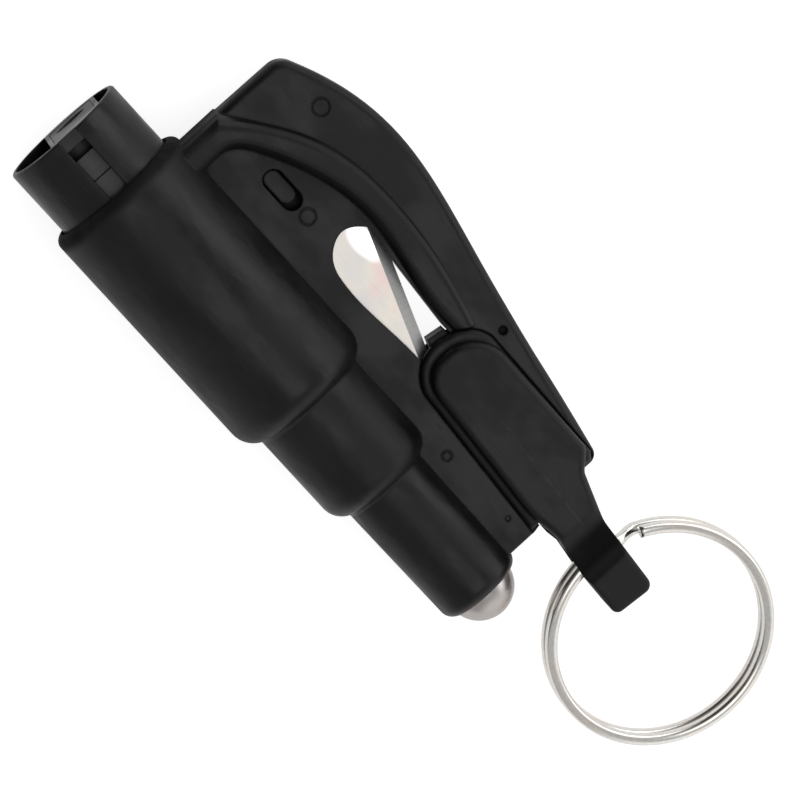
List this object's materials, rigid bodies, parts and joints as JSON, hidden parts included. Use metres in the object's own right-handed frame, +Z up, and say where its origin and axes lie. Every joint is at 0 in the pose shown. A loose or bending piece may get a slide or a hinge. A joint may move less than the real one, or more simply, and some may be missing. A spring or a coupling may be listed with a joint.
{
  "type": "keychain rescue tool",
  "caption": "Keychain car escape tool with a whistle, a window punch in a stepped barrel, a belt cutter in a hooked frame and a pull-off clip on a split ring.",
  "frame": {"origin": "on the surface that it lies on, under the middle of its overall box", "axes": "+X along the barrel from the whistle to the steel nose and on to the key ring; +Y in the flat frame's plane, from the barrel towards the cutter's arch; +Z up, square to the flat frame"},
  "size_m": [0.0926, 0.033, 0.0162],
  "materials": {
    "black_body": "satin-matte moulded black ABS with a fine texture",
    "black_clip": "satin-matte moulded black ABS, slightly smoother than the body",
    "black_whistle": "smooth moulded black plastic",
    "grey_block": "dark grey moulded plastic",
    "blade_steel": "polished stainless steel with a ground edge",
    "polished_steel": "polished hardened steel",
    "ring_nickel": "nickel plate over spring wire",
    "machined_steel": "turned steel",
    "spring_steel": "drawn spring wire",
    "carbide": "ground carbide",
    "bush_brass": "turned brass"
  },
  "bodies": {
    "body": {"front_shell": "black_body", "rear_shell": "black_body", "cutter_blade": "blade_steel", "whistle_body": "black_whistle", "windway_block": "grey_block", "whistle_plug": "black_whistle", "liner_tube": "machined_steel", "spring_seat": "machined_steel", "main_spring": "spring_steel", "nose_bush": "bush_brass"},
    "nose": {"nose_dome": "polished_steel", "retaining_ring": "spring_steel", "return_spring": "spring_steel"},
    "striker": {"striker_rod": "machined_steel", "spike_tip": "carbide"},
    "hammer": {"hammer": "machined_steel", "latch_spring": "spring_steel"},
    "latch": {"release_latch": "machined_steel"},
    "clip": {"guard_clip": "black_clip"},
    "ring": {"key_ring": "ring_nickel"}
  },
  "joints": [
    {"name": "nose_press", "type": "slide", "parent": "body", "child": "nose", "axis": [-1, 0, 0], "range_m": [0, 0.0028], "stiffness_N_per_m": 1200},
    {"name": "spike_throw", "type": "slide", "parent": "nose", "child": "striker", "axis": [1, 0, 0], "range_m": [0, 0.0025], "stiffness_N_per_m": 200, "deforming": ["return_spring"]},
    {"name": "hammer_slide", "type": "slide", "parent": "body", "child": "hammer", "axis": [-1, 0, 0], "range_m": [0, 0.0028], "deforming": ["main_spring"]},
    {"name": "latch_slide", "type": "slide", "parent": "hammer", "child": "latch", "axis": [0, 1, 0], "range_m": [0, 0.0006]},
    {"name": "clip_slide", "type": "slide", "parent": "body", "child": "clip", "axis": [0.9988, -0.048, 0], "range_m": [0, 0.03]},
    {"name": "ring_swing", "type": "hinge", "parent": "clip", "child": "ring", "pos_m": [0.0223, 0.00276, 0.0081], "axis": [0.061, 0.9981, 0], "range_deg": [-130, 95]}
  ],
  "couplings": [
    {"joint": "hammer_slide", "follows": "nose_press", "ratio": 1},
    {"joint": "latch_slide", "follows": "nose_press", "ratio": 0.2143}
  ]
}
